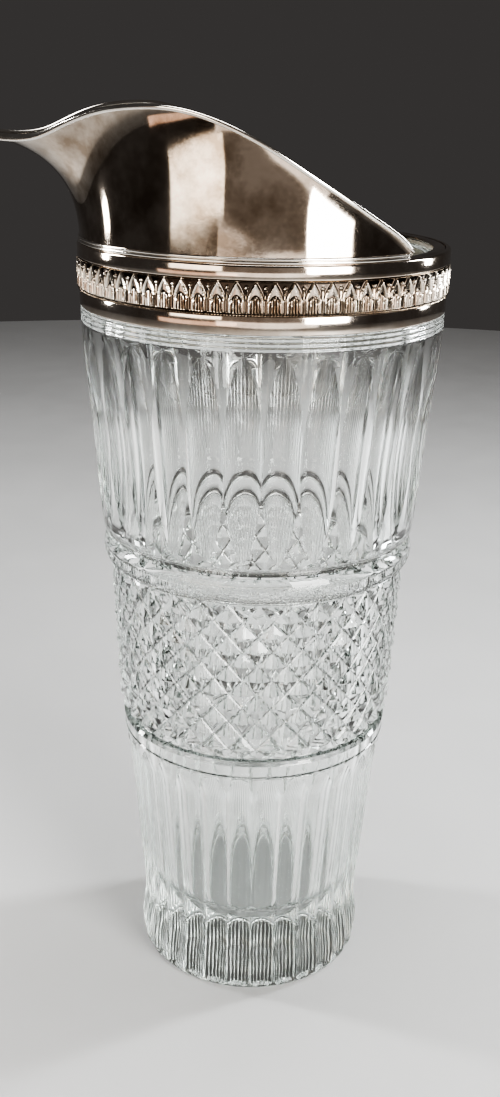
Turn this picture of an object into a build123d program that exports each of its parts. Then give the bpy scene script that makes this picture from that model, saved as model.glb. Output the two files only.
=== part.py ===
from build123d import *
from math import acos, cos, degrees, exp, hypot, pi, sin, sqrt
import os

# Cut-crystal mixing glass with a silver-plated pouring mount.
# Millimetres, +Z up. The origin is the centre of the foot's underside, on the glass's own axis.
# The spout points along -X, and the part is its own mirror image across the plane Y = 0.

# ---------------------------------------------------------------- driving dimensions: glass
FOOT_R = 31.4            # edge of the flat, ground underside
FOOT_ROUND_Z = 2.6       # height of the rounding between the underside and the base
BASE_R = 33.4            # widest part of the solid base
BASE_Z = 8.0             # height of that widest part
WAIST_R = 33.2           # where the lower cone starts
WAIST_Z = 14.0
BAND_Z0 = 73.8           # plain lower band, bottom and top
BAND_Z1 = 79.4
BAND_R0 = 37.6
BAND_R1 = 38.0
DIAMOND_Z0 = 80.2        # raised zone that carries the cut diamonds
DIAMOND_Z1 = 126.6
DIAMOND_R0 = 39.1
DIAMOND_R1 = 41.2
DIAMOND_ROUND = 5.0      # height over which the zone's lower end rounds inwards
BEAD_R = 43.05           # plain bead above the diamonds
BEAD_Z = 130.2
NOTCH_R = 41.4           # groove above the bead
NOTCH_Z = 134.0
UPPER_R0 = 43.2          # upper cone, bottom and top
UPPER_Z0 = 137.0
UPPER_R1 = 48.0
UPPER_Z1 = 195.0
SEAT_Z = 196.2           # shoulder under the metal collar
NECK_R = 45.6            # ground neck that the collar is cemented to
RIM_Z = 210.6            # top edge of the glass
CAVITY_FLOOR_Z = 20.0    # inside floor of the glass
CAVITY_R0 = 25.5         # inside radius just above the floor's round corner
CAVITY_CORNER = 8.0
CAVITY_R1 = 42.2         # inside radius at the collar

FLUTES = 30              # long cuts, the same number above and below
FLUTE_START_DEG = 0.0    # bearing of the first cut from -Y, towards +X
UPPER_CUT_Z = (137.5, 192.0)
UPPER_CUT_DEPTH = 1.9
UPPER_CUT_TOOL_R = 7.8
LOWER_CUT_Z = (4.5, 73.6)
LOWER_CUT_DEPTH = 1.3
LOWER_CUT_TOOL_R = 7.5
LOWER_CUT_RUNOUT_R = 24.0

# ---------------------------------------------------------------- driving dimensions: metal mount
SLEEVE_R0 = 46.4         # thin sleeve round the neck
SLEEVE_R1 = 47.0
COLLAR_TOP_Z = 212.3
LIP_R = 43.8             # the sleeve's top is turned in over the rim of the glass
LIP_T = 0.8
LOWER_BAND_Z = (SEAT_Z, 200.6)
LOWER_BAND_R = 48.05
FRIEZE_Z = (200.6, 208.7)
FRIEZE_R = 48.1
LEAF_PROUD = 0.6
LEAVES = 68
LEAF_START_DEG = 0.0
UPPER_BAND_Z = (208.7, COLLAR_TOP_Z)
UPPER_BAND_R = 48.45
EDGE_ROUND = 0.35
UPPER_BAND_ROUND = 0.7

HOOD_R = 47.75           # outer radius of the hood where it stands on the collar
HOOD_T = 0.8
HOOD_HALF_ANGLE = 130.2  # the hood reaches this far round from the spout on each side
MOULDING_H = 1.6         # half-round wire along the foot of the hood
MOULDING_R = 48.2
WIRE_R = 0.65            # round wire soldered along the rim of the hood
WIRE_GAP = 0.22
WIRE_STEP = 2            # every second section of the hood guides the wire

# Rim of the hood: the outer sheet's upper edge on the +Y side, from the tip of the lip (x, y, z)
# round to the end beside the open back of the collar.
HOOD_RIM = [
    (-75.0, 0.0, 237.7),
    (-72.6, 7.6, 237.7),
    (-65.3, 13.9, 237.2),
    (-57.4, 18.7, 237.9),
    (-51.1, 22.7, 240.6),
    (-45.1, 27.1, 243.1),
    (-39.3, 31.8, 244.5),
    (-33.0, 36.7, 245.1),
    (-25.9, 41.4, 244.8),
    (-16.5, 45.3, 242.3),
    (-5.9, 47.7, 237.4),
    (5.0, 47.8, 230.9),
    (14.1, 46.0, 225.4),
    (22.6, 42.4, 220.2),
    (28.2, 38.9, 216.3),
    (31.0, 36.7, 213.6),
]
HOOD_COLUMNS = 61        # sections taken round the hood
HOOD_ROWS = 13           # points up each section
SPOUT_SPREAD_DEG = 40.0  # how far round from the tip the flare of the spout reaches
# Control points of the sheet's upright section, as shares of its reach and rise: the first point's
# rise, the second point's reach and the second point's rise.
WALL_CURVE = (0.33, 0.00, 0.80)
LIP_CURVE = (0.50, 0.20, 0.94)


def save(node, shape):
    """Write one piece to parts/."""
    shape.label = node
    export_step(shape, f"parts/{node}.step")
    print(f"{node:16s} volume {shape.volume:10.1f} mm3")


def ring(r0, r1, z0, z1):
    """A plain ring between two radii and two heights."""
    return Pos(0, 0, z0) * (Cylinder(r1, z1 - z0, align=(Align.CENTER, Align.CENTER, Align.MIN))
                            - Cylinder(r0, z1 - z0, align=(Align.CENTER, Align.CENTER, Align.MIN)))


def lerp(a, b, t):
    return a + (b - a) * t


# ---------------------------------------------------------------- glass
def cone_r(z, z0, r0, z1, r1):
    """Radius of a cone at height z."""
    return lerp(r0, r1, (z - z0) / (z1 - z0))


def glass_blank():
    """The vessel before it is cut, turned about Z."""
    round_r = cone_r(DIAMOND_Z0 + DIAMOND_ROUND, DIAMOND_Z0, DIAMOND_R0, DIAMOND_Z1, DIAMOND_R1)
    outer = [
        Line((0, 0), (FOOT_R - 0.6, 0)),
        ThreePointArc((FOOT_R - 0.6, 0), (FOOT_R + 1.1, 0.75), (BASE_R - 0.25, FOOT_ROUND_Z)),
        ThreePointArc((BASE_R - 0.25, FOOT_ROUND_Z), (BASE_R, BASE_Z), (WAIST_R, WAIST_Z)),
        Line((WAIST_R, WAIST_Z), (BAND_R0 - 0.2, BAND_Z0)),
        Line((BAND_R0 - 0.2, BAND_Z0), (BAND_R0, BAND_Z0 + 0.3)),
        Line((BAND_R0, BAND_Z0 + 0.3), (BAND_R1, BAND_Z1)),
        Line((BAND_R1, BAND_Z1), (BAND_R1 - 0.3, DIAMOND_Z0)),
        ThreePointArc((BAND_R1 - 0.3, DIAMOND_Z0), (round_r - 0.35, DIAMOND_Z0 + 0.4 * DIAMOND_ROUND),
                      (round_r, DIAMOND_Z0 + DIAMOND_ROUND)),
        Line((round_r, DIAMOND_Z0 + DIAMOND_ROUND), (DIAMOND_R1, DIAMOND_Z1)),
        ThreePointArc((DIAMOND_R1, DIAMOND_Z1), (BEAD_R, BEAD_Z), (NOTCH_R, NOTCH_Z)),
        Line((NOTCH_R, NOTCH_Z), (UPPER_R0, UPPER_Z0)),
        Line((UPPER_R0, UPPER_Z0), (UPPER_R1, UPPER_Z1)),
        Line((UPPER_R1, UPPER_Z1), (UPPER_R1, SEAT_Z)),
        Line((UPPER_R1, SEAT_Z), (NECK_R, SEAT_Z)),
        Line((NECK_R, SEAT_Z), (NECK_R, RIM_Z - 0.8)),
        ThreePointArc((NECK_R, RIM_Z - 0.8), (NECK_R - 0.25, RIM_Z - 0.22), (NECK_R - 0.8, RIM_Z)),
    ]
    corner_z = CAVITY_FLOOR_Z + CAVITY_CORNER
    inner = [
        Line((NECK_R - 0.8, RIM_Z), (CAVITY_R1 + 0.8, RIM_Z)),
        ThreePointArc((CAVITY_R1 + 0.8, RIM_Z), (CAVITY_R1 + 0.25, RIM_Z - 0.22),
                      (CAVITY_R1, RIM_Z - 0.8)),
        Line((CAVITY_R1, RIM_Z - 0.8), (CAVITY_R1, UPPER_Z1)),
        Line((CAVITY_R1, UPPER_Z1), (CAVITY_R0, corner_z)),
        ThreePointArc((CAVITY_R0, corner_z),
                      (CAVITY_R0 - 0.3 * CAVITY_CORNER, CAVITY_FLOOR_Z + 0.3 * CAVITY_CORNER),
                      (CAVITY_R0 - CAVITY_CORNER, CAVITY_FLOOR_Z)),
        Line((CAVITY_R0 - CAVITY_CORNER, CAVITY_FLOOR_Z), (0, CAVITY_FLOOR_Z)),
        Line((0, CAVITY_FLOOR_Z), (0, 0)),
    ]
    section = Plane.XZ * make_face(outer + inner)
    return revolve(section, Axis.Z, 360)


def upper_cutter():
    """One upper cut in the XZ plane on the +X side: a round tool swept along a shallow arc.

    The cut is pointed at both ends, because the arc leaves the glass there.
    """
    z0, z1 = UPPER_CUT_Z
    half = (z1 - z0) / 2
    r0 = cone_r(z0, UPPER_Z0, UPPER_R0, UPPER_Z1, UPPER_R1)
    r1 = cone_r(z1, UPPER_Z0, UPPER_R0, UPPER_Z1, UPPER_R1)
    middle_r = (r0 + r1) / 2 + UPPER_CUT_TOOL_R - UPPER_CUT_DEPTH
    over = 1.25          # the tool's path runs past both ends of the cut
    end_lift = UPPER_CUT_DEPTH * over ** 2
    span = half * over
    slope = (r1 - r0) / (z1 - z0)
    middle = (middle_r, 0, (z0 + z1) / 2)
    start = (middle_r - slope * span + end_lift, 0, middle[2] - span)
    end = (middle_r + slope * span + end_lift, 0, middle[2] + span)
    path = ThreePointArc(start, middle, end)
    profile = Plane(origin=path @ 0, z_dir=path % 0) * Circle(UPPER_CUT_TOOL_R)
    return sweep(profile, path=path)


def lower_cutter():
    """One lower cut on the +X side: a straight round tool that leaves the glass in an arc at the top,
    which gives the cut its pointed arch, and runs out gently into the foot."""
    z0, z1 = LOWER_CUT_Z
    slope = (BAND_R0 - WAIST_R) / (BAND_Z0 - WAIST_Z)
    arch = sqrt(2 * LOWER_CUT_RUNOUT_R * LOWER_CUT_DEPTH)
    over = 1.6
    straight_top = z1 - arch
    straight_bottom = WAIST_Z + 4.0

    def tool_r(z):
        return WAIST_R + slope * (z - WAIST_Z) + LOWER_CUT_TOOL_R - LOWER_CUT_DEPTH

    top = (tool_r(straight_top), 0, straight_top)
    bottom = (tool_r(straight_bottom), 0, straight_bottom)
    lift = LOWER_CUT_DEPTH * over ** 2
    leave = (tool_r(z1) + lift, 0, straight_top + arch * over)
    foot = (bottom[0] + 0.45, 0, z0)
    line = Line(bottom, top)
    out_arc = TangentArc(top, leave, tangent=line % 1)
    foot_arc = TangentArc(bottom, foot, tangent=-(line % 0))
    disc = Circle(LOWER_CUT_TOOL_R)
    tool = sweep(Plane(origin=bottom, z_dir=line % 0) * disc, path=line)
    tool += sweep(Plane(origin=top, z_dir=line % 1) * disc, path=out_arc)
    tool += sweep(Plane(origin=bottom, z_dir=-(line % 0)) * disc, path=foot_arc)
    return tool


def glass_body():
    """The blank with its long cuts, made every third cut at a time so that no two tools touch."""
    glass = glass_blank()
    for tool in (upper_cutter(), lower_cutter()):
        for first in range(3):
            turns = [FLUTE_START_DEG - 90 + i * 360 / FLUTES for i in range(first, FLUTES, 3)]
            glass -= [Rot(0, 0, turn) * tool for turn in turns]
            glass = glass.solids().sort_by(SortBy.VOLUME)[-1]
    return glass


# ---------------------------------------------------------------- collar
def plaster_bed():
    """Cement that fills the space between the neck of the glass and the sleeve."""
    side = ring(NECK_R, SLEEVE_R0, SEAT_Z, RIM_Z)
    cap = ring(LIP_R, SLEEVE_R0, RIM_Z, COLLAR_TOP_Z - LIP_T)
    return side + cap


def collar_sleeve():
    """Thin drawn sleeve whose top edge is turned in over the rim of the glass."""
    side = ring(SLEEVE_R0, SLEEVE_R1, SEAT_Z, COLLAR_TOP_Z)
    lip = ring(LIP_R, SLEEVE_R1, COLLAR_TOP_Z - LIP_T, COLLAR_TOP_Z)
    sleeve = side + lip
    inner_edges = sleeve.edges().filter_by(GeomType.CIRCLE).filter_by(
        lambda e: abs(e.radius - LIP_R) < 0.01)
    return fillet(inner_edges, 0.3)


def band(z_range, radius, top_round):
    """Plain band soldered round the sleeve, with its outer edges softened."""
    body = ring(SLEEVE_R1, radius, z_range[0], z_range[1])
    outer = body.edges().filter_by(GeomType.CIRCLE).filter_by(lambda e: abs(e.radius - radius) < 0.01)
    body = fillet(outer.sort_by(Axis.Z)[:1], EDGE_ROUND)
    outer = body.edges().filter_by(GeomType.CIRCLE).filter_by(lambda e: abs(e.radius - radius) < 0.01)
    return fillet(outer.sort_by(Axis.Z)[-1:], top_round)


def leaf_frieze():
    """Stamped strip of upright pointed leaves between two narrow plain edges."""
    body = ring(SLEEVE_R1, FRIEZE_R, FRIEZE_Z[0], FRIEZE_Z[1])
    height = FRIEZE_Z[1] - FRIEZE_Z[0]
    half_w = 0.38 * 2 * pi * FRIEZE_R / LEAVES
    foot_z = FRIEZE_Z[0] + 0.09 * height
    spring_z = FRIEZE_Z[0] + 0.55 * height
    tip_z = FRIEZE_Z[0] + 0.9 * height
    outline = [
        Line((-0.8 * half_w, foot_z), (0.8 * half_w, foot_z)),
        Line((0.8 * half_w, foot_z), (half_w, spring_z)),
        ThreePointArc((half_w, spring_z), (0.66 * half_w, lerp(spring_z, tip_z, 0.62)), (0, tip_z)),
        ThreePointArc((0, tip_z), (-0.66 * half_w, lerp(spring_z, tip_z, 0.62)), (-half_w, spring_z)),
        Line((-half_w, spring_z), (-0.8 * half_w, foot_z)),
    ]
    root_r = FRIEZE_R - 0.4
    plane = Plane(origin=(root_r, 0, 0), x_dir=(0, 1, 0), z_dir=(1, 0, 0))
    leaf = extrude(plane * make_face(outline), FRIEZE_R + LEAF_PROUD - root_r)
    leaves = [Rot(0, 0, LEAF_START_DEG - 90 + i * 360 / LEAVES) * leaf for i in range(LEAVES)]
    return body + leaves


# ---------------------------------------------------------------- spout hood
def rim_points():
    """The whole rim, from one end round the tip of the lip to the other end."""
    left = [(x, -y, z) for x, y, z in reversed(HOOD_RIM[1:])]
    return left + HOOD_RIM


RIM = Spline(rim_points())


def bearing_of(point):
    """Angle of a point from the spout's direction (-X), positive on the +Y side, in radians."""
    angle = acos(max(-1, min(1, -point.X / hypot(point.X, point.Y))))
    return angle if point.Y >= 0 else -angle


def spout_weight(angle):
    """1 at the tip of the spout, falling smoothly to 0 round the sides."""
    return exp(-(degrees(angle) / SPOUT_SPREAD_DEG) ** 2)


def hood_section(s):
    """Points up the outer surface, from the collar to the rim, at the fraction s along the rim."""
    top = RIM @ s
    angle = bearing_of(top)
    w = spout_weight(angle)
    rim_r = hypot(top.X, top.Y)
    reach = rim_r - HOOD_R
    rise = top.Z - COLLAR_TOP_Z
    v1, u2, v2 = [lerp(wall, lip, w) for wall, lip in zip(WALL_CURVE, LIP_CURVE)]
    points = []
    for j in range(HOOD_ROWS):
        t = j / (HOOD_ROWS - 1)
        b1 = 3 * t * (1 - t) ** 2
        b2 = 3 * t ** 2 * (1 - t)
        b3 = t ** 3
        u = b2 * u2 + b3
        v = b1 * v1 + b2 * v2 + b3
        r = HOOD_R + reach * u
        points.append(Vector(-r * cos(angle), r * sin(angle), COLLAR_TOP_Z + rise * v))
    return points


def cross_normals(grid):
    """Unit normals of a grid of points, turned towards the inside of the hood."""
    normals = []
    last_i = len(grid) - 1
    last_j = len(grid[0]) - 1
    for i, column in enumerate(grid):
        row = []
        for j in range(len(column)):
            along = grid[min(i + 1, last_i)][j] - grid[max(i - 1, 0)][j]
            up = column[min(j + 1, last_j)] - column[max(j - 1, 0)]
            row.append(along.cross(up).normalized())
        normals.append(row)
    return normals


def hood_grids():
    """Outer and inner surface points of the hood's sheet."""
    outer = [hood_section(i / (HOOD_COLUMNS - 1)) for i in range(HOOD_COLUMNS)]
    normals = cross_normals(outer)
    middle = outer[HOOD_COLUMNS // 2][0]
    inward = Vector(-middle.X, -middle.Y, 0)
    sign = 1 if normals[HOOD_COLUMNS // 2][0].dot(inward) > 0 else -1
    inner = []
    for column, row in zip(outer, normals):
        inner.append([p + n * (sign * HOOD_T) for p, n in zip(column, row)])
    # The foot of the sheet stands flat on the collar.
    for column in inner:
        column[0] = Vector(column[0].X, column[0].Y, COLLAR_TOP_Z)
    return outer, inner


def spout_hood():
    outer, inner = hood_grids()
    outside = Face.make_surface_from_array_of_points(outer, tol=0.004, min_deg=3, max_deg=5)
    inside = Face.make_surface_from_array_of_points(inner, tol=0.004, min_deg=3, max_deg=5)

    def edge_near(face, point):
        return face.edges().sort_by(lambda e: (e.position_at(0.5) - point).length)[0]

    middle = HOOD_COLUMNS // 2
    half = HOOD_ROWS // 2
    sides = []
    for o, i in ((outer[middle][0], inner[middle][0]), (outer[middle][-1], inner[middle][-1]),
                 (outer[0][half], inner[0][half]), (outer[-1][half], inner[-1][half])):
        sides.append(Face.make_surface_from_curves(edge_near(outside, o), edge_near(inside, i)))
    return Solid(Shell([outside, inside] + sides))


def neck_moulding():
    """Half-round wire bent round the foot of the hood."""
    z0 = COLLAR_TOP_Z
    z1 = COLLAR_TOP_Z + MOULDING_H
    inner = HOOD_R + 0.14
    outline = [
        Line((inner, z0), (MOULDING_R - 0.15, z0)),
        ThreePointArc((MOULDING_R - 0.15, z0), (MOULDING_R, (z0 + z1) / 2 - 0.2), (inner + 0.1, z1)),
        Line((inner + 0.1, z1), (inner, z1)),
        Line((inner, z1), (inner, z0)),
    ]
    section = Plane.XZ * make_face(outline)
    half_turn = HOOD_HALF_ANGLE - 1.0
    return revolve(Rot(0, 0, 180 - half_turn) * section, Axis.Z, 2 * half_turn)


def hood_rim_wire():
    """Round wire soldered along the upper edge of the hood, just clear of the sheet."""
    outer, inner = hood_grids()
    centres = []
    for i in range(0, HOOD_COLUMNS, WIRE_STEP):
        edge = (outer[i][-1] + inner[i][-1]) * 0.5
        ahead = RIM % (i / (HOOD_COLUMNS - 1))
        across = Vector(edge.X, edge.Y, 0)
        across = (across - ahead * across.dot(ahead)).normalized()
        up = ahead.cross(across).normalized()
        to_inner = (inner[i][-1] - outer[i][-1]).normalized()
        lean = max(0.0, to_inner.dot(up))
        lift = WIRE_R + WIRE_GAP + lean * HOOD_T / 2
        centres.append(edge + up * lift - across * (lean * WIRE_R))
    path = Spline(centres)
    profile = Plane(origin=path @ 0, z_dir=path % 0) * Circle(WIRE_R)
    return sweep(profile, path=path)


def main():
    os.makedirs("parts", exist_ok=True)
    save("glass_body", glass_body())
    save("plaster_bed", plaster_bed())
    save("collar_sleeve", collar_sleeve())
    save("lower_band", band(LOWER_BAND_Z, LOWER_BAND_R, EDGE_ROUND))
    save("leaf_frieze", leaf_frieze())
    save("upper_band", band(UPPER_BAND_Z, UPPER_BAND_R, UPPER_BAND_ROUND))
    save("neck_moulding", neck_moulding())
    save("spout_hood", spout_hood())
    save("hood_rim_wire", hood_rim_wire())


main()
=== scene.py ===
from math import cos, exp, hypot, pi, radians, sin

import bmesh
import bpy
import numpy as np
from mathutils import Matrix, Vector


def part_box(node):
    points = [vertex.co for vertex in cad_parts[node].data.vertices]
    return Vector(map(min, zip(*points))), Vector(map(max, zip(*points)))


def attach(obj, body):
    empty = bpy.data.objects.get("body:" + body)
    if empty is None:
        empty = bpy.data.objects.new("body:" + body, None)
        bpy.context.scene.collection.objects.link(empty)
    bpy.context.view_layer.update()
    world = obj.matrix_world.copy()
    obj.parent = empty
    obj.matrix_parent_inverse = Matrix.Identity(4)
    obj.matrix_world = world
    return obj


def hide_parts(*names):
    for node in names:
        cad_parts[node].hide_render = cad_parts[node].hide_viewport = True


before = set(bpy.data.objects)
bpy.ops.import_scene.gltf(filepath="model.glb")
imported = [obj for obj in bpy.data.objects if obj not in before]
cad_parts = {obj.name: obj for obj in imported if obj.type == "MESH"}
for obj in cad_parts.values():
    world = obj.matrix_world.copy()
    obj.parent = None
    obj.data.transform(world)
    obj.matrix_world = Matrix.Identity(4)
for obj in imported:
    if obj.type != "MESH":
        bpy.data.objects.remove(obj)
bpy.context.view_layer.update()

# Cut-crystal mixing glass with a silver-plated pouring mount. Lengths are in millimetres in the
# driving dimensions and functions, and turn into metres where a mesh is made. Bearings are measured
# from -Y towards +X. The spout points along -X.

MM = 0.001


def node_top(node):
    """Height of a CAD piece's top, in millimetres."""
    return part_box(node)[1].z / MM


def node_bottom(node):
    """Height of a CAD piece's underside, in millimetres."""
    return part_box(node)[0].z / MM


def node_radius(node):
    """Largest radius of a round CAD piece, in millimetres."""
    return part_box(node)[1].y / MM


# ---------------------------------------------------------------- driving dimensions: glass
FOOT_R = 30.8            # edge of the flat underside
FOOT_ROUND_Z = 2.6       # height of the rounding above it
FOOT_SIDE_R = 33.15
BASE_BULGE = 0.34        # how far the solid base swells out
WAIST_Z = 14.0
WAIST_R = 33.0
BAND_Z = (73.75, 79.4)   # plain lower band
BAND_R = (37.95, 38.3)
ARCH_R = 37.65           # radius of the lower cone where the flutes' arches end
ZONE_Z = (79.8, 125.9)   # zone of cut diamonds
ZONE_R = (39.1, 41.2)
ZONE_ROUND = 6.0         # height over which its lower end rounds inwards
BEAD_Z = 130.2
BEAD_R = 43.05
BEAD_HALF = 3.9
BEAD_RIB = 0.09          # half the height of the fine ribs on its lower side
NOTCH_Z = 134.2
NOTCH_R = 41.4
CONE_Z = (137.0, 192.4)  # upper cone
CONE_R = (43.2, 47.9)
SEAT_Z = node_bottom("lower_band")
RIM_Z = node_top("glass_body")
NECK_R = 45.58
MOUTH_R = 42.2
INNER_TOP_Z = 195.0
INNER_R0 = 25.5          # inside radius above the floor's round corner
FLOOR_Z = 20.0
FLOOR_CORNER = 8.0

FLUTES = 30
FLUTE_START = radians(0.0)
FLUTE_HALF = pi / FLUTES
RIDGE_HALF = radians(0.07)   # half width of the polished ridge between two flutes
CUT_COLUMNS = 6              # columns from a flute's middle to its edge
LAND_COLUMNS = 2             # and on to the middle of the land
TIP_HALF = radians(0.3)
TIP_BLEND = 2.5              # height over which the columns spread evenly again
UPPER_CUT = {"z": (137.5, 192.0), "depth": 2.35, "tool": 6.6, "power": 1.5}
LOWER_CUT = {"top": 73.6, "arch": 9.0, "depth": 2.2, "tool": 5.3, "power": 1.5, "foot": 0.6}

DIAMONDS = 32
DIAMOND_START = radians(-5.8)
DIAMOND_ROWS = 11        # half pitches between the two ends of the zone
DIAMOND_TOP_Z = 125.2
DIAMOND_HALF_H = 4.22
GROOVE_HALF = 0.40
GROOVE_DEPTH = 0.85
GROOVE_FLOOR = 0.34      # the grooves' own V below the feet of the pyramids
APEX_PROUD = 0.22

# ---------------------------------------------------------------- driving dimensions: metal
RING_SEGMENTS = 384
LIP_R = 43.8             # the sleeve's top is turned in to this radius
EDGE_ROUND = 0.35        # outer edges of the bands
BAND_ROUND = {"band_below": EDGE_ROUND, "band_above": 0.7}
LEAVES = 68
LEAF_START = radians(1.7)
LEAF_COLUMNS = 24
LEAF_ROWS = 54
LEAF_RELIEF = 0.80
HOOD_R = 47.75
HOOD_T = 0.8
HOOD_FOOT_Z = node_top("upper_band")
HOOD_HALF_ANGLE = radians(130.2)
SPOUT_SPREAD = radians(40.0)
# Control points of the sheet's upright section, as shares of its reach and rise: the first point's
# rise, the second point's reach and the second point's rise.
WALL_CURVE = (0.33, 0.00, 0.80)
LIP_CURVE = (0.50, 0.20, 0.94)
HOOD_COLUMNS = 300
HOOD_ROWS = 48
MOULDING_WIRES = ((0.42, 0.40), (1.16, 0.32))   # height and radius of the two beads at its foot
RIM_HALF_W = 0.85        # half width and half thickness of the flattened wire along the rim
RIM_HALF_T = 0.60
# Rim of the hood on the +Y side, from the tip of the lip to the open back of the collar (x, y, z).
HOOD_RIM = [
    (-75.0, 0.0, 237.7),
    (-72.6, 7.6, 237.7),
    (-65.3, 13.9, 237.2),
    (-57.4, 18.7, 237.9),
    (-51.1, 22.7, 240.6),
    (-45.1, 27.1, 243.1),
    (-39.3, 31.8, 244.5),
    (-33.0, 36.7, 245.1),
    (-25.9, 41.4, 244.8),
    (-16.5, 45.3, 242.3),
    (-5.9, 47.7, 237.4),
    (5.0, 47.8, 230.9),
    (14.1, 46.0, 225.4),
    (22.6, 42.4, 220.2),
    (28.2, 38.9, 216.3),
    (31.0, 36.7, 213.6),
]

# ---------------------------------------------------------------- stage, in metres and degrees
CAMERA_TURN = 7.0        # the spout is turned this far towards the viewer
CAMERA_DISTANCE = 0.33389
CAMERA_HEIGHT = 0.24952
CAMERA_PITCH = 20.203    # downwards
CAMERA_ASIDE = 0.348     # the view's middle lies this far beside the glass's axis
CAMERA_ROLL = -1.145
CAMERA_LENS = 41.04      # focal length and sensor width, in millimetres
CAMERA_SENSOR = 36.0
FLOOR_R = 1.1
FLOOR_SIDES = 128
LIGHT_AIM_Z = 0.3


# ---------------------------------------------------------------- small helpers
def lerp(a, b, t):
    """A value between a and b."""
    return a + (b - a) * t


def smooth(a, b, x):
    """0 below a, 1 above b, with a smooth turn between."""
    t = min(1.0, max(0.0, (x - a) / (b - a)))
    return t * t * (3 - 2 * t)


class Build:
    """Collects the points and faces of one mesh."""

    def __init__(self):
        self.points = []
        self.faces = []
        self.count = 0

    def add(self, points):
        """Adds an (n, 3) array of points and returns the first one's index."""
        first = self.count
        self.points.append(np.asarray(points, float).reshape(-1, 3))
        self.count += len(self.points[-1])
        return first

    def strip(self, low, high, n, closed=True):
        """Quads between two loops of n points; seen from outside, high lies above low."""
        i = np.arange(n if closed else n - 1)
        j = (i + 1) % n
        self.faces.extend(np.stack([low + i, low + j, high + j, high + i], 1).tolist())

    def fan(self, centre, loop, n, up):
        """Triangles from a centre point to a closed loop."""
        i = np.arange(n)
        j = (i + 1) % n
        pair = (loop + i, loop + j) if up else (loop + j, loop + i)
        self.faces.extend(np.stack([np.full(n, centre), *pair], 1).tolist())

    def mesh(self, name, sharp):
        mesh = bpy.data.meshes.new(name)
        mesh.from_pydata((np.concatenate(self.points) * MM).tolist(), [], self.faces)
        mesh.shade_smooth()
        mesh.set_sharp_from_angle(angle=radians(sharp))
        return mesh


def loop_points(radii, z, bearings):
    """Points of a ring; radii and z may be single values."""
    radii = np.broadcast_to(radii, bearings.shape)
    heights = np.broadcast_to(z, bearings.shape)
    return np.stack([radii * np.sin(bearings), -radii * np.cos(bearings), heights], 1)


def place(name, mesh, material, slot, *nodes):
    """Makes the object, gives it its material, and lets it stand for its CAD nodes."""
    piece = bpy.data.objects.new(name, mesh)
    bpy.context.scene.collection.objects.link(piece)
    mesh.materials.append(material)
    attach(piece, "root")
    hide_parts(*nodes)
    return piece


def lathe(section, start=0.0, end=2 * pi):
    """Turns a closed section [(r, z), ...], listed anticlockwise with r to the right, about Z."""
    closed = end - start > 2 * pi - 1e-6
    count = RING_SEGMENTS if closed else int(RING_SEGMENTS * (end - start) / (2 * pi)) + 1
    bearings = np.linspace(start, end, count, endpoint=not closed)
    build = Build()
    rings = [build.add(loop_points(r, z, bearings)) for r, z in section]
    for k, low in enumerate(rings):
        build.strip(low, rings[(k + 1) % len(rings)], count, closed)
    if not closed:
        build.faces.append(rings[::-1])
        build.faces.append([first + count - 1 for first in rings])
    return build


def round_box(r0, r1, z0, z1, top, bottom, steps=5):
    """Section of a ring whose outer edges are rounded by top and bottom."""
    section = [(r0, z0)]
    for k in range(steps + 1):
        a = k / steps * pi / 2
        section.append((r1 - bottom + bottom * sin(a), z0 + bottom - bottom * cos(a)))
    for k in range(steps + 1):
        a = k / steps * pi / 2
        section.append((r1 - top + top * cos(a), z1 - top + top * sin(a)))
    section.append((r0, z1))
    return section


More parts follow.
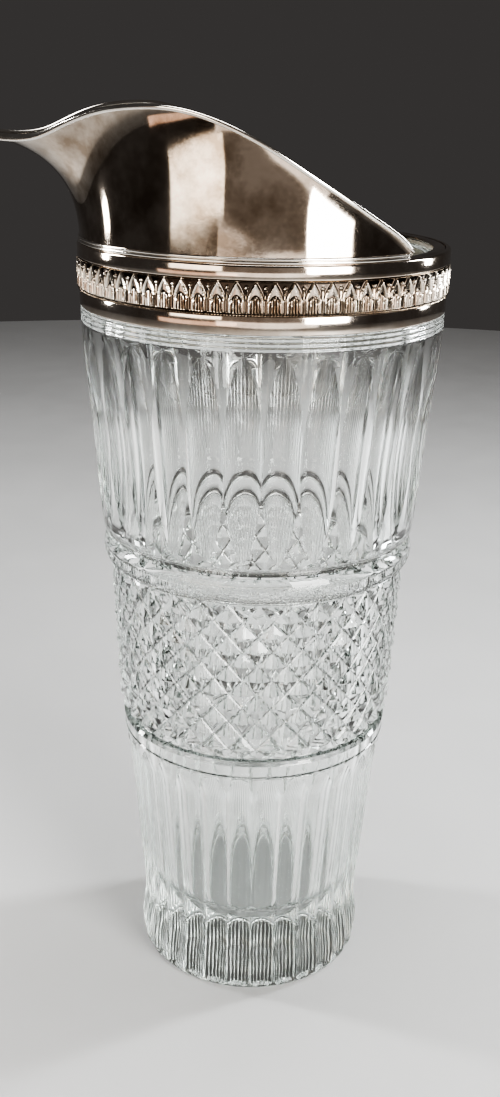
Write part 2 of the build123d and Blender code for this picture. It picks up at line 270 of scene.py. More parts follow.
# ---------------------------------------------------------------- node helpers
class Nodes:
    """Short names for making a node material."""

    def __init__(self, name):
        self.material = bpy.data.materials.new(name)
        self.material.use_nodes = True
        self.tree = self.material.node_tree
        self.tree.nodes.clear()
        self.out = self.tree.nodes.new("ShaderNodeOutputMaterial")
        self.shader = self.tree.nodes.new("ShaderNodeBsdfPrincipled")
        self.join(self.shader.outputs["BSDF"], self.out.inputs["Surface"])
        self.place = self.tree.nodes.new("ShaderNodeTexCoord").outputs["Object"]

    def join(self, a, b):
        self.tree.links.new(a, b)

    def noise(self, scale, detail=3.0, rough=0.5):
        node = self.tree.nodes.new("ShaderNodeTexNoise")
        node.inputs["Scale"].default_value = scale
        node.inputs["Detail"].default_value = detail
        node.inputs["Roughness"].default_value = rough
        self.join(self.place, node.inputs["Vector"])
        return node.outputs["Fac"]

    def ramp(self, value, stops):
        """Colour ramp; stops are (position, (r, g, b))."""
        node = self.tree.nodes.new("ShaderNodeValToRGB")
        while len(node.color_ramp.elements) < len(stops):
            node.color_ramp.elements.new(0.5)
        for element, (position, colour) in zip(node.color_ramp.elements, stops):
            element.position = position
            element.color = (*colour, 1.0)
        self.join(value, node.inputs["Fac"])
        return node.outputs["Color"]

    def span(self, value, low, high, from_low=0.3, from_high=0.7):
        """Maps a value to a range."""
        node = self.tree.nodes.new("ShaderNodeMapRange")
        node.inputs["From Min"].default_value = from_low
        node.inputs["From Max"].default_value = from_high
        node.inputs["To Min"].default_value = low
        node.inputs["To Max"].default_value = high
        self.join(value, node.inputs["Value"])
        return node.outputs["Result"]

    def math(self, operation, a, b):
        node = self.tree.nodes.new("ShaderNodeMath")
        node.operation = operation
        for socket, value in zip(node.inputs, (a, b)):
            if isinstance(value, (int, float)):
                socket.default_value = value
            else:
                self.join(value, socket)
        return node.outputs["Value"]

    def mix(self, amount, a, b):
        """Mixes two colours, each a socket or (r, g, b)."""
        node = self.tree.nodes.new("ShaderNodeMix")
        node.data_type = "RGBA"
        self.join(amount, node.inputs["Factor"])
        for socket, value in ((node.inputs[6], a), (node.inputs[7], b)):
            if isinstance(value, tuple):
                socket.default_value = (*value, 1.0)
            else:
                self.join(value, socket)
        return node.outputs[2]

    def bump(self, height, strength, distance, normal=None):
        node = self.tree.nodes.new("ShaderNodeBump")
        node.inputs["Strength"].default_value = strength
        node.inputs["Distance"].default_value = distance
        self.join(height, node.inputs["Height"])
        if normal:
            self.join(normal, node.inputs["Normal"])
        return node.outputs["Normal"]


# ---------------------------------------------------------------- materials
def crystal():
    """Lead crystal: clear, very slightly grey-green in the thick base, with a fire-polished skin."""
    n = Nodes("crystal")
    n.shader.inputs["Base Color"].default_value = (0.985, 0.995, 0.99, 1.0)
    n.shader.inputs["IOR"].default_value = 1.545
    n.shader.inputs["Transmission Weight"].default_value = 1.0
    film = n.noise(55.0, 4.0, 0.6)
    specks = n.noise(900.0, 2.0, 0.5)
    roughness = n.math("ADD", n.span(film, 0.0, 0.022, 0.42, 0.75),
                       n.span(specks, 0.0, 0.02, 0.62, 0.75))
    n.join(roughness, n.shader.inputs["Roughness"])
    ripple = n.noise(160.0, 2.0, 0.5)
    fine = n.noise(420.0, 2.0, 0.5)
    normal = n.bump(ripple, 0.03, 0.0006)
    n.join(n.bump(fine, 0.015, 0.0003, normal), n.shader.inputs["Normal"])
    absorption = n.tree.nodes.new("ShaderNodeVolumeAbsorption")
    absorption.inputs["Color"].default_value = (0.80, 0.90, 0.86, 1.0)
    absorption.inputs["Density"].default_value = 7.0
    n.join(absorption.outputs["Volume"], n.out.inputs["Volume"])
    return n.material


def silver(name, colour, tarnish, patches, polish, dents):
    """Silver plate: tarnish in soft clouds, finer stains, wipe marks, fine wear and slight dents."""
    n = Nodes(name)
    n.shader.inputs["Metallic"].default_value = 1.0
    cloud = n.noise(55.0, 5.0, 0.62)
    stain = n.noise(170.0, 4.0, 0.6)
    mottled = n.math("ADD", n.math("MULTIPLY", cloud, 0.58), n.math("MULTIPLY", stain, 0.42))
    base = n.mix(n.span(mottled, 0.0, patches, 0.42, 0.62), colour, tarnish)
    n.join(base, n.shader.inputs["Base Color"])
    wear = n.noise(1400.0, 4.0, 0.7)
    smudge = n.noise(24.0, 4.0, 0.6)
    rough = n.math("ADD", n.span(smudge, polish, polish + 0.05, 0.35, 0.72),
                   n.span(wear, 0.0, 0.05, 0.55, 0.75))
    n.join(rough, n.shader.inputs["Roughness"])
    dent = n.bump(n.noise(26.0, 2.0, 0.4), dents, 0.003)
    n.join(n.bump(wear, 0.03, 0.00005, dent), n.shader.inputs["Normal"])
    return n


def frieze_silver():
    """As the other silver, with dark oxide left in the hollows of the relief."""
    n = silver("frieze_silver", (0.80, 0.75, 0.68), (0.52, 0.42, 0.33), 0.7, 0.14, 0.0)
    attribute = n.tree.nodes.new("ShaderNodeAttribute")
    attribute.attribute_name = "relief"
    base = n.shader.inputs["Base Color"].links[0].from_socket
    hollow = n.span(attribute.outputs["Fac"], 0.95, 0.0, 0.03, 0.50)
    n.join(n.mix(hollow, base, (0.045, 0.032, 0.024)), n.shader.inputs["Base Color"])
    return n.material


def plaster():
    """Pale, rough cement."""
    n = Nodes("plaster")
    grain = n.noise(900.0, 5.0, 0.6)
    n.join(n.ramp(n.noise(120.0, 4.0), [(0.35, (0.66, 0.62, 0.54)), (0.65, (0.78, 0.75, 0.68))]),
           n.shader.inputs["Base Color"])
    n.join(n.span(grain, 0.75, 0.95), n.shader.inputs["Roughness"])
    n.join(n.bump(grain, 0.4, 0.0003), n.shader.inputs["Normal"])
    return n.material


# ---------------------------------------------------------------- glass
def cut_half_angle(blank, depth, tool):
    """Half the angle that a round tool of that depth takes out of a blank of that radius."""
    if depth <= 0:
        return 0.0
    c = blank + tool - depth
    return float(np.arccos((c * c + blank * blank - tool * tool) / (2 * c * blank)))


def cut_radii(blank, depth, tool, offsets):
    """Radius of the cut blank at angles from a flute's middle."""
    radii = np.full(offsets.shape, blank)
    if depth <= 0:
        return radii
    c = blank + tool - depth
    angle = np.minimum(np.abs(offsets), FLUTE_HALF - RIDGE_HALF)
    inside = tool * tool - (c * np.sin(angle)) ** 2
    hit = inside > 0
    radii[hit] = np.minimum(blank, c * np.cos(angle[hit]) - np.sqrt(inside[hit]))
    return radii


def fluted_loop(blank, z, depth=0.0, tool=1.0, spread=1.0, rib=0.0):
    """Bearings and points of one ring of the glass. spread is 1 where columns stand evenly, and
    rib is half the height of fine upright ribs."""
    even = FLUTE_HALF * CUT_COLUMNS / (CUT_COLUMNS + LAND_COLUMNS)
    edge = max(cut_half_angle(blank, depth, tool), TIP_HALF)
    edge = min(lerp(edge, even, spread), FLUTE_HALF - RIDGE_HALF)
    half = np.concatenate([np.linspace(0, edge, CUT_COLUMNS + 1),
                           np.linspace(edge, FLUTE_HALF, LAND_COLUMNS + 1)[1:]])
    offsets = np.concatenate([-half[::-1], half[1:-1]])
    radii = cut_radii(blank, depth, tool, offsets)
    radii += rib * (1 - 2 * (np.arange(len(radii)) % 2))
    centres = FLUTE_START + 2 * FLUTE_HALF * np.arange(FLUTES)
    bearings = (centres[:, None] + offsets[None, :]).ravel()
    return bearings, loop_points(np.tile(radii, FLUTES), z, bearings)


def lower_blank(z):
    """Radius of the solid base and lower cone before cutting."""
    if z < WAIST_Z:
        t = (z - FOOT_ROUND_Z) / (WAIST_Z - FOOT_ROUND_Z)
        return lerp(FOOT_SIDE_R, WAIST_R, t) + BASE_BULGE * 4 * t * (1 - t)
    return lerp(WAIST_R, ARCH_R, (z - WAIST_Z) / (LOWER_CUT["top"] - WAIST_Z))


def lower_depth(z):
    """Depth of the lower flutes: a pointed arch at the top, shallower over the foot."""
    cut = LOWER_CUT
    rise = min(1.0, max(0.0, (cut["top"] - z) / cut["arch"]))
    arch = (1 - (1 - rise) ** 2) ** cut["power"]
    foot = lerp(cut["foot"], 1.0, smooth(4.0, 20.0, z)) * smooth(0.4, 3.0, z)
    return cut["depth"] * arch * foot


def upper_depth(z):
    """Depth of the upper flutes: a lens shape, pointed at both ends."""
    low, high = UPPER_CUT["z"]
    t = (2 * z - low - high) / (high - low)
    return UPPER_CUT["depth"] * max(0.0, 1 - t * t) ** UPPER_CUT["power"]


def lower_rings():
    """Rings from the underside to the top of the plain lower band."""
    rings = []
    for k in range(8):
        a = k / 7 * pi / 2
        r = lerp(FOOT_R, FOOT_SIDE_R, sin(a))
        z = FOOT_ROUND_Z * (1 - cos(a))
        rings.append((r, z, lower_depth(z), LOWER_CUT["tool"], 0.0))
    arch_z = LOWER_CUT["top"] - LOWER_CUT["arch"]
    heights = [*np.arange(FOOT_ROUND_Z + 0.9, 20.0, 0.9), *np.arange(20.0, arch_z, 3.6),
               *np.linspace(arch_z, LOWER_CUT["top"], 26)]
    for z in heights:
        rings.append((lower_blank(z), z, lower_depth(z), LOWER_CUT["tool"], 0.0))
    z0, z1 = BAND_Z
    r0, r1 = BAND_R
    # A fine bead along the band's lower edge and two fine lines along its upper edge.
    profile = [(ARCH_R - 0.04, z0 - 0.06), (r0 - 0.12, z0 + 0.04), (r0 + 0.10, z0 + 0.26),
               (r0 + 0.10, z0 + 0.55), (r0 - 0.14, z0 + 0.85), (r0 + 0.02, z0 + 1.15),
               (lerp(r0, r1, 0.5) + 0.03, z0 + 2.8), (r1, z1 - 1.45), (r1 - 0.20, z1 - 1.15),
               (r1 + 0.05, z1 - 0.85), (r1 - 0.20, z1 - 0.50), (r1 + 0.02, z1 - 0.22),
               (r1 - 0.15, z1), (r1 - 0.90, z1 + 0.25)]
    for r, z in profile:
        rings.append((r, z, 0.0, 1.0, smooth(0, TIP_BLEND, z - LOWER_CUT["top"])))
    return rings


def upper_rings():
    """Rings from the bead to the inside of the floor: bead, upper cone, neck, rim and cavity."""
    rings = []
    for k in range(21):
        t = lerp(-1, 1, k / 20)
        side = NOTCH_R if t > 0 else ZONE_R[1] - 0.5
        r = lerp(side, BEAD_R, max(0.0, 1 - abs(t) ** 2.2) ** 0.62)
        rib = BEAD_RIB * smooth(-0.95, -0.8, t) * smooth(-0.35, -0.15, -t)
        rings.append((r - rib, BEAD_Z + BEAD_HALF * t, 0.0, 1.0, 1.0, rib))
    z0, z1 = CONE_Z
    r0, r1 = CONE_R
    low, high = UPPER_CUT["z"]
    for k in range(1, 9):
        t = k / 8
        r = lerp(NOTCH_R, r0, 1 - (1 - t) ** 2)
        z = lerp(NOTCH_Z, z0, t)
        rings.append((r, z, 0.0, 1.0, smooth(0, TIP_BLEND, low - z)))
    count = 76
    for k in range(count + 1):
        z = lerp(low, high, 0.5 - 0.5 * cos(pi * k / count))
        blank = lerp(r0, r1, (z - z0) / (z1 - z0))
        rings.append((blank, z, upper_depth(z), UPPER_CUT["tool"], 0.0))
    # Three fine moulded lines under the collar.
    for k in range(25):
        t = k / 24
        z = lerp(z1, SEAT_Z - 0.25, t)
        rings.append((r1 - 0.10 + 0.14 * cos(6 * pi * t), z, 0.0, 1.0, smooth(0, TIP_BLEND, z - high)))
    corner = 0.8
    path = [(r1 - 0.12, SEAT_Z - 0.06), (r1 - 0.3, SEAT_Z - 0.02), (NECK_R, SEAT_Z - 0.02),
            (NECK_R, RIM_Z - corner)]
    for k in range(1, 6):
        a = k / 5 * pi / 2
        path.append((NECK_R - corner + corner * cos(a), RIM_Z - corner + corner * sin(a)))
    for k in range(6):
        a = k / 5 * pi / 2
        path.append((MOUTH_R + corner - corner * sin(a), RIM_Z - corner + corner * cos(a)))
    corner_z = FLOOR_Z + FLOOR_CORNER
    path += [(MOUTH_R, INNER_TOP_Z + 2.0), (MOUTH_R - 0.05, INNER_TOP_Z)]
    for k in range(1, 13):
        path.append((lerp(MOUTH_R - 0.05, INNER_R0, k / 12), lerp(INNER_TOP_Z, corner_z, k / 12)))
    for k in range(1, 9):
        a = k / 8 * pi / 2
        path.append((INNER_R0 - FLOOR_CORNER * (1 - cos(a)), corner_z - FLOOR_CORNER * sin(a)))
    for k in range(1, 5):
        path.append((lerp(INNER_R0 - FLOOR_CORNER, 0.0, k / 5), FLOOR_Z))
    rings += [(r, z, 0.0, 1.0, 1.0) for r, z in path]
    return rings


def zone_radius(z):
    """Radius of the diamonds' zone at the level of their points."""
    r = lerp(*ZONE_R, (z - ZONE_Z[0]) / (ZONE_Z[1] - ZONE_Z[0]))
    t = max(0.0, 1 - (z - ZONE_Z[0]) / ZONE_ROUND)
    return r - 1.1 * t ** 2.4


def diamond_zone(build):
    """Pyramids between crossing grooves. Returns the two boundary loops."""
    half = pi / DIAMONDS
    steps = 4            # points along a half cell's straight side
    known = {}

    def height(j):
        if j <= 0:
            return ZONE_Z[1]
        if j >= DIAMOND_ROWS:
            return ZONE_Z[0]
        return DIAMOND_TOP_Z - j * DIAMOND_HALF_H

    def bearing(i):
        return DIAMOND_START + i * half

    def point(beta, z, lift):
        return loop_points(zone_radius(z) + lift, z, np.array([beta]))

    def corner(i, j):
        """A point on a groove's centre line, shared by the cells around it."""
        key = (round(i * steps) % (2 * DIAMONDS * steps), j)
        if key not in known:
            known[key] = build.add(point(bearing(i), height(j), -GROOVE_DEPTH - GROOVE_FLOOR))
        return known[key]

    def cell(outline, centre, tall):
        """One pyramid over an outline of lattice points, anticlockwise seen from outside."""
        beta0, z0 = centre
        unroll = zone_radius(z0)
        flat = [((bearing(i) - beta0) * unroll, height(j) - z0) for i, j in outline]
        sides = list(zip(flat, flat[1:] + flat[:1]))
        reach = min(abs(a[0] * b[1] - a[1] * b[0]) / hypot(b[0] - a[0], b[1] - a[1]) for a, b in sides)
        keep = 1 - GROOVE_HALF / reach
        outer = [corner(i, j) for i, j in outline]
        inner = []
        for x, y in flat:
            inner.append(build.add(point(beta0 + x * keep / unroll, z0 + y * keep, -GROOVE_DEPTH)))
        top = build.add(point(beta0, z0, lerp(-GROOVE_DEPTH, APEX_PROUD, tall)))
        for k in range(len(outline)):
            m = (k + 1) % len(outline)
            build.faces.append([outer[k], outer[m], inner[m], inner[k]])
            build.faces.append([inner[k], inner[m], top])

    for j in range(1, DIAMOND_ROWS):
        for i in range(2 * DIAMONDS):
            if (i + j) % 2:
                cell([(i, j + 1), (i + 1, j), (i, j - 1), (i - 1, j)], (bearing(i), height(j)), 1.0)
    span = [k / steps * 2 - 1 for k in range(steps + 1)]
    for i in range(1, 2 * DIAMONDS, 2):
        top_edge = [(i - s, 0) for s in span]
        cell([(i, 1)] + top_edge, (bearing(i), height(0) - 1.35), 0.62)
    for i in range(0, 2 * DIAMONDS, 2):
        low_edge = [(i + s, DIAMOND_ROWS) for s in span]
        cell([(i, DIAMOND_ROWS - 1)] + low_edge, (bearing(i), height(DIAMOND_ROWS) + 1.1), 0.55)

    def boundary(j):
        keys = sorted(k for k in known if k[1] == j)
        angles = np.array([bearing(k[0] / steps) for k in keys])
        return angles, [known[k] for k in keys]

    return boundary(DIAMOND_ROWS), boundary(0)


def glass_body():
    """The whole vessel as one closed skin, outside and inside."""
    build = Build()
    n = 2 * (CUT_COLUMNS + LAND_COLUMNS) * FLUTES

    def stack(rings):
        loops = []
        for ring in rings:
            bearings, points = fluted_loop(*ring)
            loops.append((bearings, build.add(points)))
        for (_, low), (_, high) in zip(loops, loops[1:]):
            build.strip(low, high, n)
        return loops

    lower = stack(lower_rings())
    under = build.add([(0, 0, 0)])
    build.fan(under, lower[0][1], n, up=False)
    upper = stack(upper_rings())
    floor = build.add([(0, 0, FLOOR_Z)])
    build.fan(floor, upper[-1][1], n, up=True)

    (low_angles, low_points), (high_angles, high_points) = diamond_zone(build)
    # The boundary points were added one by one, so each loop is copied into a run of its own and
    # welded afterwards with the rest of the mesh.
    everything = np.concatenate(build.points)
    low_loop = build.add(everything[low_points])
    high_loop = build.add(everything[high_points])
    join_loops(build, lower[-1][1], lower[-1][0], low_loop, low_angles)
    join_loops(build, high_loop, high_angles, upper[0][1], upper[0][0])
    return build


def join_loops(build, low, low_angles, high, high_angles):
    """Zips two loops whose lists may start at different bearings."""
    def rolled(first, angles):
        angles = np.mod(angles - low_angles[0] + 1e-6, 2 * pi)
        order = np.argsort(angles, kind="stable")
        return first + order, angles[order]

    a_index, a = rolled(low, low_angles)
    b_index, b = rolled(high, high_angles)
    na, nb = len(a), len(b)
    a = np.append(a, a[0] + 2 * pi)
    b = np.append(b, b[0] + 2 * pi)
    i = j = 0
    while i < na or j < nb:
        if j == nb or (i < na and a[i + 1] <= b[j + 1]):
            build.faces.append([int(a_index[i]), int(a_index[(i + 1) % na]), int(b_index[j % nb])])
            i += 1
        else:
            build.faces.append([int(a_index[i % na]), int(b_index[(j + 1) % nb]), int(b_index[j])])
            j += 1


def weld(mesh, distance):
    """Joins points that lie on each other."""
    work = bmesh.new()
    work.from_mesh(mesh)
    bmesh.ops.remove_doubles(work, verts=work.verts, dist=distance * MM)
    work.to_mesh(mesh)
    work.free()


# ---------------------------------------------------------------- collar
def leaf_height(u, v):
    """Relief of one leaf of the frieze, 0 to 1. u is -0.5 to 0.5 across, v is 0 to 1 upwards."""
    x = np.abs(u)
    arch = 0.40 * np.clip(1 - np.clip((v - 0.42) / 0.52, 0, 1) ** 1.7, 0, 1)
    inside = x < arch
    # The cap: a pointed, slightly domed shield with a raised edge.
    edge = np.exp(-((x - arch + 0.045) / 0.050) ** 2) * (v < 0.95) * (v > 0.10)
    under = 0.60 - 1.1 * x ** 1.6            # lower edge of the cap
    cap = inside & (v > under)
    dome = 0.62 + 0.3 * (v - 0.6) - 0.9 * x
    # Under the cap the leaf is hollow, and reeds stand in the hollow.
    fan = 1.0 - 0.20 * np.clip(v / 0.6, 0, 1)
    reeds = 0.5 + 0.5 * np.cos(2 * pi * x / (0.165 * fan))
    reed_top = smoothstep_array(0.02, 0.10, under - v)
    reed_foot = smoothstep_array(0.05, 0.10, v)
    body = np.where(cap, dome, 0.62 * reeds * reed_top * reed_foot)
    height = np.where(inside, body, 0.0)
    height = np.maximum(height, 0.95 * edge)
    # Between the leaves a stem rises to a round bud.
    y = 0.5 - x
    stem = np.exp(-(y / 0.035) ** 2)
    stem *= smoothstep_array(0.06, 0.1, v) * smoothstep_array(0.0, 0.05, 0.76 - v)
    bud = np.sqrt(np.clip(1 - (y / 0.085) ** 2 - ((v - 0.80) / 0.052) ** 2, 0, 1))
    height = np.maximum(height, np.maximum(0.6 * stem, 0.95 * bud))
    # Narrow double lines along both edges.
    for middle in (0.022, 0.975):
        line = np.exp(-((v - middle) / 0.016) ** 2)
        height = np.maximum(height, 0.8 * line)
    return height


def smoothstep_array(a, b, x):
    """As smooth, on an array."""
    t = np.clip((x - a) / (b - a), 0, 1)
    return t * t * (3 - 2 * t)


def leaf_frieze():
    """Stamped strip of leaves: a relief on its outer face, plain behind."""
    z0, z1 = node_bottom("leaf_frieze"), node_top("leaf_frieze")
    back = node_radius("collar_sleeve")
    face = node_radius("leaf_frieze") - LEAF_RELIEF
    n = LEAVES * LEAF_COLUMNS
    u = (np.arange(LEAF_COLUMNS) / LEAF_COLUMNS) - 0.5
    bearings = (np.arange(n) / n) * 2 * pi - pi / LEAVES + LEAF_START
    build = Build()
    relief = []
    rings = []
    for k in range(LEAF_ROWS + 1):
        v = k / LEAF_ROWS
        height = np.tile(leaf_height(u, np.full(u.shape, v)), LEAVES)
        relief.append(height)
        rings.append(build.add(loop_points(face + LEAF_RELIEF * height, lerp(z0, z1, v), bearings)))
    for z in (z1, z0):
        relief.append(np.zeros(n))
        rings.append(build.add(loop_points(back + 0.02, z, bearings)))
    for k, low in enumerate(rings):
        build.strip(low, rings[(k + 1) % len(rings)], n)
    mesh = build.mesh("leaf_frieze_relief", 50)
    attribute = mesh.attributes.new("relief", "FLOAT", "POINT")
    attribute.data.foreach_set("value", np.concatenate(relief).astype(np.float32))
    return mesh


# ---------------------------------------------------------------- hood
def natural_spline(points, count):
    """Evenly spaced points on a natural cubic spline through the given points, and its tangents."""
    points = np.asarray(points, float)
    knots = np.concatenate([[0], np.cumsum(np.linalg.norm(np.diff(points, axis=0), axis=1))])
    gaps = np.diff(knots)
    n = len(points)
    system = np.eye(n)
    right = np.zeros_like(points)
    for k in range(1, n - 1):
        system[k, k - 1:k + 2] = (gaps[k - 1], 2 * (gaps[k - 1] + gaps[k]), gaps[k])
        slope_after = (points[k + 1] - points[k]) / gaps[k]
        slope_before = (points[k] - points[k - 1]) / gaps[k - 1]
        right[k] = 6 * (slope_after - slope_before)
    bend = np.linalg.solve(system, right)
    where = np.linspace(0, knots[-1], count)
    k = np.clip(np.searchsorted(knots, where, side="right") - 1, 0, n - 2)
    h = gaps[k][:, None]
    a = (knots[k + 1][:, None] - where[:, None]) / h
    b = 1 - a
    curve = (a * points[k] + b * points[k + 1]
             + ((a ** 3 - a) * bend[k] + (b ** 3 - b) * bend[k + 1]) * h * h / 6)
    tangent = ((points[k + 1] - points[k]) / h
               + (-(3 * a ** 2 - 1) * bend[k] + (3 * b ** 2 - 1) * bend[k + 1]) * h / 6)
    return curve, tangent / np.linalg.norm(tangent, axis=1)[:, None]


def hood_rim():
    """Points and tangents along the hood's whole rim, from its -Y end round the tip to its +Y end."""
    left = [(x, -y, z) for x, y, z in reversed(HOOD_RIM[1:])]
    return natural_spline(left + HOOD_RIM, HOOD_COLUMNS + 1)


def hood_surface():
    """Outer and inner points of the hood's sheet, [column, row]."""
    rim, _ = hood_rim()
    angle = np.arctan2(rim[:, 1], -rim[:, 0])
    w = np.exp(-(angle / SPOUT_SPREAD) ** 2)[:, None]
    reach = (np.hypot(rim[:, 0], rim[:, 1]) - HOOD_R)[:, None]
    rise = (rim[:, 2] - HOOD_FOOT_Z)[:, None]
    t = np.linspace(0, 1, HOOD_ROWS + 1)[None, :]
    b1 = 3 * t * (1 - t) ** 2
    b2 = 3 * t ** 2 * (1 - t)
    b3 = t ** 3
    v1, u2, v2 = [lerp(wall, lip, w) for wall, lip in zip(WALL_CURVE, LIP_CURVE)]
    r = HOOD_R + reach * (b2 * u2 + b3)
    z = HOOD_FOOT_Z + rise * (b1 * v1 + b2 * v2 + b3)
    outer = np.stack([-r * np.cos(angle)[:, None], r * np.sin(angle)[:, None], z], 2)
    normal = np.cross(np.gradient(outer, axis=0), np.gradient(outer, axis=1))
    normal /= np.linalg.norm(normal, axis=2)[:, :, None]
    middle = outer[HOOD_COLUMNS // 2, 0]
    if np.dot(normal[HOOD_COLUMNS // 2, 0], [-middle[0], -middle[1], 0]) < 0:
        normal = -normal
    inner = outer + normal * HOOD_T
    inner[:, 0, 2] = HOOD_FOOT_Z
    return outer, inner


def spout_hood():
    """The raised sheet as one closed skin."""
    outer, inner = hood_surface()
    build = Build()
    columns = HOOD_COLUMNS + 1
    rows = [outer[:, j] for j in range(HOOD_ROWS + 1)]
    rows += [inner[:, j] for j in range(HOOD_ROWS, -1, -1)]
    firsts = [build.add(row[::-1]) for row in rows]
    for k, low in enumerate(firsts):
        build.strip(low, firsts[(k + 1) % len(firsts)], columns, closed=False)
    pairs = HOOD_ROWS + 1
    for end in (0, columns - 1):
        for k in range(pairs - 1):
            quad = [firsts[k] + end, firsts[k + 1] + end, firsts[-k - 2] + end, firsts[-k - 1] + end]
            build.faces.append(quad if end else quad[::-1])
    return build


def rim_wire():
    """Flattened wire along the edge of the hood, rounded over at its two ends."""
    outer, inner = hood_surface()
    _, ahead = hood_rim()
    edge = (outer[:, -1] + inner[:, -1]) / 2
    across = outer[:, -1] - inner[:, -1]
    across -= ahead * np.sum(across * ahead, axis=1)[:, None]
    across /= np.linalg.norm(across, axis=1)[:, None]
    # On the sheet's edge, up is the way the sheet runs.
    up = np.cross(ahead, across)
    along_sheet = outer[:, -1] - outer[:, -2]
    flip = np.sum(up * along_sheet, axis=1) < 0
    up[flip] = -up[flip]
    sides = 20
    build = Build()
    count = len(edge)
    profile = []
    for k in range(sides):
        a = 2 * pi * k / sides
        profile.append((abs(cos(a)) ** 0.7 * (1 if cos(a) >= 0 else -1),
                        abs(sin(a)) ** 0.7 * (1 if sin(a) >= 0 else -1)))
    taper = np.clip(np.minimum(np.arange(count), np.arange(count)[::-1]) / 3.0, 0, 1) ** 0.5
    taper = (0.25 + 0.75 * taper)[:, None]
    # The wire sits on the edge along the sides and is drawn back onto the sheet at the tip.
    tip = np.exp(-(np.arctan2(edge[:, 1], -edge[:, 0]) / SPOUT_SPREAD) ** 2)
    seat = lerp(0.5, -1.0, tip)[:, None]
    lines = []
    for x, y in profile:
        lines.append(build.add(edge + across * (x * RIM_HALF_W) * taper
                               + up * ((y * taper + seat) * RIM_HALF_T)))
    for k, low in enumerate(lines):
        build.strip(low, lines[(k + 1) % sides], count, closed=False)
    build.faces.append(list(lines))
    build.faces.append([first + count - 1 for first in reversed(lines)])
    return build


def face_outwards(mesh):
    """Turns every face of a closed mesh outwards."""
    work = bmesh.new()
    work.from_mesh(mesh)
    bmesh.ops.recalc_face_normals(work, faces=work.faces)
    work.to_mesh(mesh)
    work.free()


# ---------------------------------------------------------------- assembly
def make_object():
    """Every visible piece, each standing for its CAD node."""
    crystal_glass = crystal()
    hood_silver = silver("hood_silver", (0.64, 0.57, 0.50), (0.32, 0.25, 0.19), 0.9, 0.04, 0.22).material
    band_silver = silver("band_silver", (0.76, 0.69, 0.62), (0.48, 0.38, 0.30), 0.7, 0.06, 0.05).material
    edge_silver = silver("edge_silver", (0.88, 0.85, 0.80), (0.62, 0.54, 0.46), 0.5, 0.10, 0.0).material

    mesh = glass_body().mesh("cut_glass", 18)
    weld(mesh, 0.0005)
    place("cut_glass", mesh, crystal_glass, "crystal", "glass_body")

    sleeve_r = node_radius("collar_sleeve")
    top = node_top("collar_sleeve")
    neck = NECK_R + 0.03
    bed = [(neck, SEAT_Z), (sleeve_r - 0.63, SEAT_Z), (sleeve_r - 0.63, top - 0.84),
           (LIP_R + 0.1, top - 0.84), (LIP_R + 0.1, RIM_Z + 0.03), (neck, RIM_Z + 0.03)]
    place("plaster_bedding", lathe(bed).mesh("plaster_bedding", 30), plaster(), "plaster", "plaster_bed")

    sleeve = [(sleeve_r - 0.6, SEAT_Z), (sleeve_r, SEAT_Z), (sleeve_r, top - 0.5),
              (sleeve_r - 0.15, top - 0.15), (sleeve_r - 0.5, top), (LIP_R + 0.4, top),
              (LIP_R + 0.12, top - 0.12), (LIP_R, top - 0.4), (LIP_R + 0.12, top - 0.68),
              (LIP_R + 0.4, top - 0.8), (sleeve_r - 0.6, top - 0.8)]
    place("sleeve", lathe(sleeve).mesh("sleeve", 35), band_silver, "silver_plate", "collar_sleeve")

    for name, node in (("band_below", "lower_band"), ("band_above", "upper_band")):
        section = round_box(sleeve_r + 0.02, node_radius(node), node_bottom(node), node_top(node),
                            BAND_ROUND[name], EDGE_ROUND)
        place(name, lathe(section).mesh(name, 35), band_silver, "silver_plate", node)

    place("leaf_strip", leaf_frieze(), frieze_silver(), "silver_plate", "leaf_frieze")

    z0 = node_bottom("neck_moulding")
    section = [(HOOD_R + 0.05, z0)]
    for middle, radius in MOULDING_WIRES:
        for k in range(9):
            a = lerp(-pi / 2, pi / 2, k / 8)
            section.append((HOOD_R + 0.12 + radius * 0.85 * cos(a), z0 + middle + radius * sin(a)))
    section.append((HOOD_R + 0.05, z0 + 1.52))
    reach = HOOD_HALF_ANGLE - radians(1.0)
    # The spout lies at a bearing of -90 degrees.
    moulding = lathe(section, -pi / 2 - reach, -pi / 2 + reach)
    place("foot_moulding", moulding.mesh("foot_moulding", 40), edge_silver, "silver_plate", "neck_moulding")

    mesh = spout_hood().mesh("hood", 40)
    place("hood", mesh, hood_silver, "silver_plate", "spout_hood")
    mesh = rim_wire().mesh("rim_wire", 40)
    face_outwards(mesh)
    place("rim_wire", mesh, edge_silver, "silver_plate", "hood_rim_wire")


# ---------------------------------------------------------------- stage
def make_floor():
    """Plain pale floor."""
    n = Nodes("floor_paint")
    n.join(n.ramp(n.noise(6.0, 3.0), [(0.3, (0.56, 0.56, 0.555)), (0.7, (0.60, 0.60, 0.595))]),
           n.shader.inputs["Base Color"])
    n.join(n.span(n.noise(40.0, 3.0), 0.42, 0.55), n.shader.inputs["Roughness"])
    mesh = bpy.data.meshes.new("floor")
    turns = [2 * pi * k / FLOOR_SIDES for k in range(FLOOR_SIDES)]
    corners = [(FLOOR_R * cos(turn), FLOOR_R * sin(turn), -0.0001) for turn in turns]
    mesh.from_pydata(corners, [], [list(range(FLOOR_SIDES))])
    mesh.materials.append(n.material)
    floor = bpy.data.objects.new("floor", mesh)
    bpy.context.scene.collection.objects.link(floor)


def around(bearing, distance, height):
    """A place round the glass, in metres; the bearing is in degrees."""
    angle = radians(bearing)
    return Vector((distance * sin(angle), -distance * cos(angle), height))


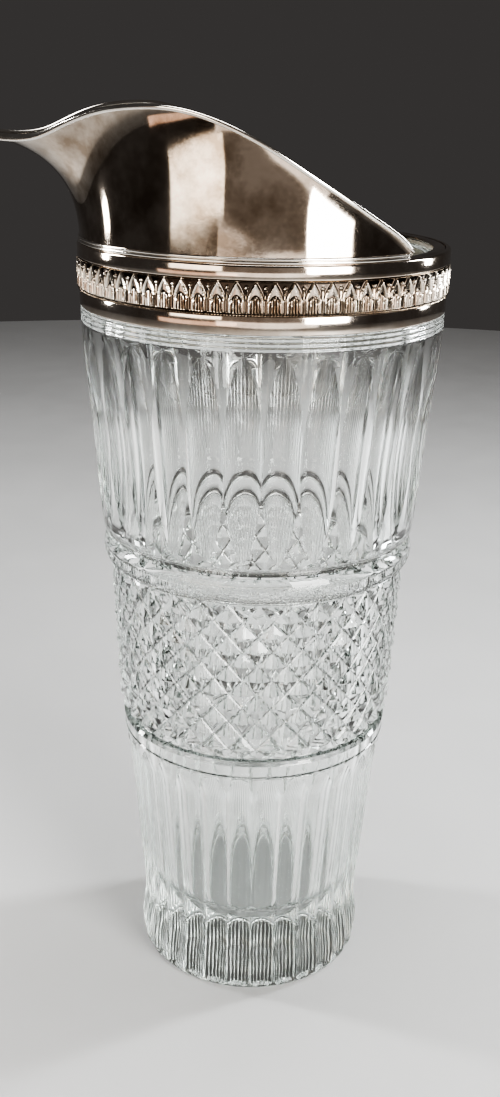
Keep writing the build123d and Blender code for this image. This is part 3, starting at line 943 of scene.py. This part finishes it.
def soft_light(name, position, size, radiance, colour=(1.0, 1.0, 1.0)):
    """A soft card that faces the glass's axis, level unless it stands higher than LIGHT_AIM_Z."""
    light = bpy.data.lights.new(name, "AREA")
    light.shape = "RECTANGLE"
    light.size, light.size_y = size
    light.energy = radiance * pi * size[0] * size[1]
    light.color = colour
    lamp = bpy.data.objects.new(name, light)
    lamp.location = position
    aim = Vector((0.0, 0.0, min(position.z, LIGHT_AIM_Z))) - position
    lamp.rotation_euler = aim.to_track_quat("-Z", "Y").to_euler()
    lamp.visible_camera = False
    bpy.context.scene.collection.objects.link(lamp)


def make_light():
    """Soft cards round the glass and a dim, even surround."""
    soft_light("window_right", around(31.0, 0.75, 0.36), (0.36, 0.50), 17.0, (1.0, 0.99, 0.97))
    soft_light("room_left", around(-46.0, 0.70, 0.30), (0.40, 0.30), 3.4, (1.0, 0.93, 0.83))
    soft_light("strip_left", around(-112.0, 0.62, 0.37), (0.06, 0.46), 42.0)
    soft_light("strip_right", around(106.0, 0.62, 0.37), (0.08, 0.46), 42.0, (0.95, 0.98, 1.0))
    soft_light("overhead", Vector((0.0, 0.1, 1.1)), (0.6, 0.5), 7.0)
    soft_light("warm_card", around(-45.0, 0.45, 0.130), (0.40, 0.032), 1.4, (1.0, 0.70, 0.54))
    soft_light("front_card", around(-4.0, 0.80, 0.075), (0.90, 0.09), 1.6, (1.0, 0.93, 0.87))
    soft_light("front_fill", around(-7.0, 1.30, 0.33), (2.40, 0.62), 0.26, (1.0, 0.86, 0.74))
    world = bpy.data.worlds.new("studio")
    world.use_nodes = True
    world.node_tree.nodes["Background"].inputs["Color"].default_value = (0.098, 0.093, 0.091, 1.0)
    world.node_tree.nodes["Background"].inputs["Strength"].default_value = 1.0
    bpy.context.scene.world = world


def make_camera():
    """The camera stands before the glass, a little above its collar, and looks down at it."""
    yaw, pitch, roll = radians(CAMERA_TURN - CAMERA_ASIDE), radians(CAMERA_PITCH), radians(CAMERA_ROLL)
    forward = Vector((sin(yaw) * cos(pitch), cos(yaw) * cos(pitch), -sin(pitch)))
    level = Vector((cos(yaw), -sin(yaw), 0.0))
    down = forward.cross(level)
    right = level * cos(roll) + down * sin(roll)
    up = level * sin(roll) - down * cos(roll)
    lens = bpy.data.cameras.new("camera")
    lens.sensor_width = CAMERA_SENSOR
    lens.lens = CAMERA_LENS
    camera = bpy.data.objects.new("camera", lens)
    axes = Matrix((right, up, -forward)).transposed().to_4x4()
    place_of_lens = around(-CAMERA_TURN, CAMERA_DISTANCE, CAMERA_HEIGHT)
    camera.matrix_world = Matrix.Translation(place_of_lens) @ axes
    bpy.context.scene.collection.objects.link(camera)
    bpy.context.scene.camera = camera


make_camera()
make_object()
make_floor()
make_light()
scene = bpy.context.scene
scene.cycles.max_bounces = 24
scene.cycles.transmission_bounces = 24
scene.cycles.glossy_bounces = 8
scene.cycles.caustics_reflective = True
scene.view_settings.view_transform = "AgX"
scene.view_settings.look = "AgX - Very High Contrast"
scene.view_settings.exposure = -0.5
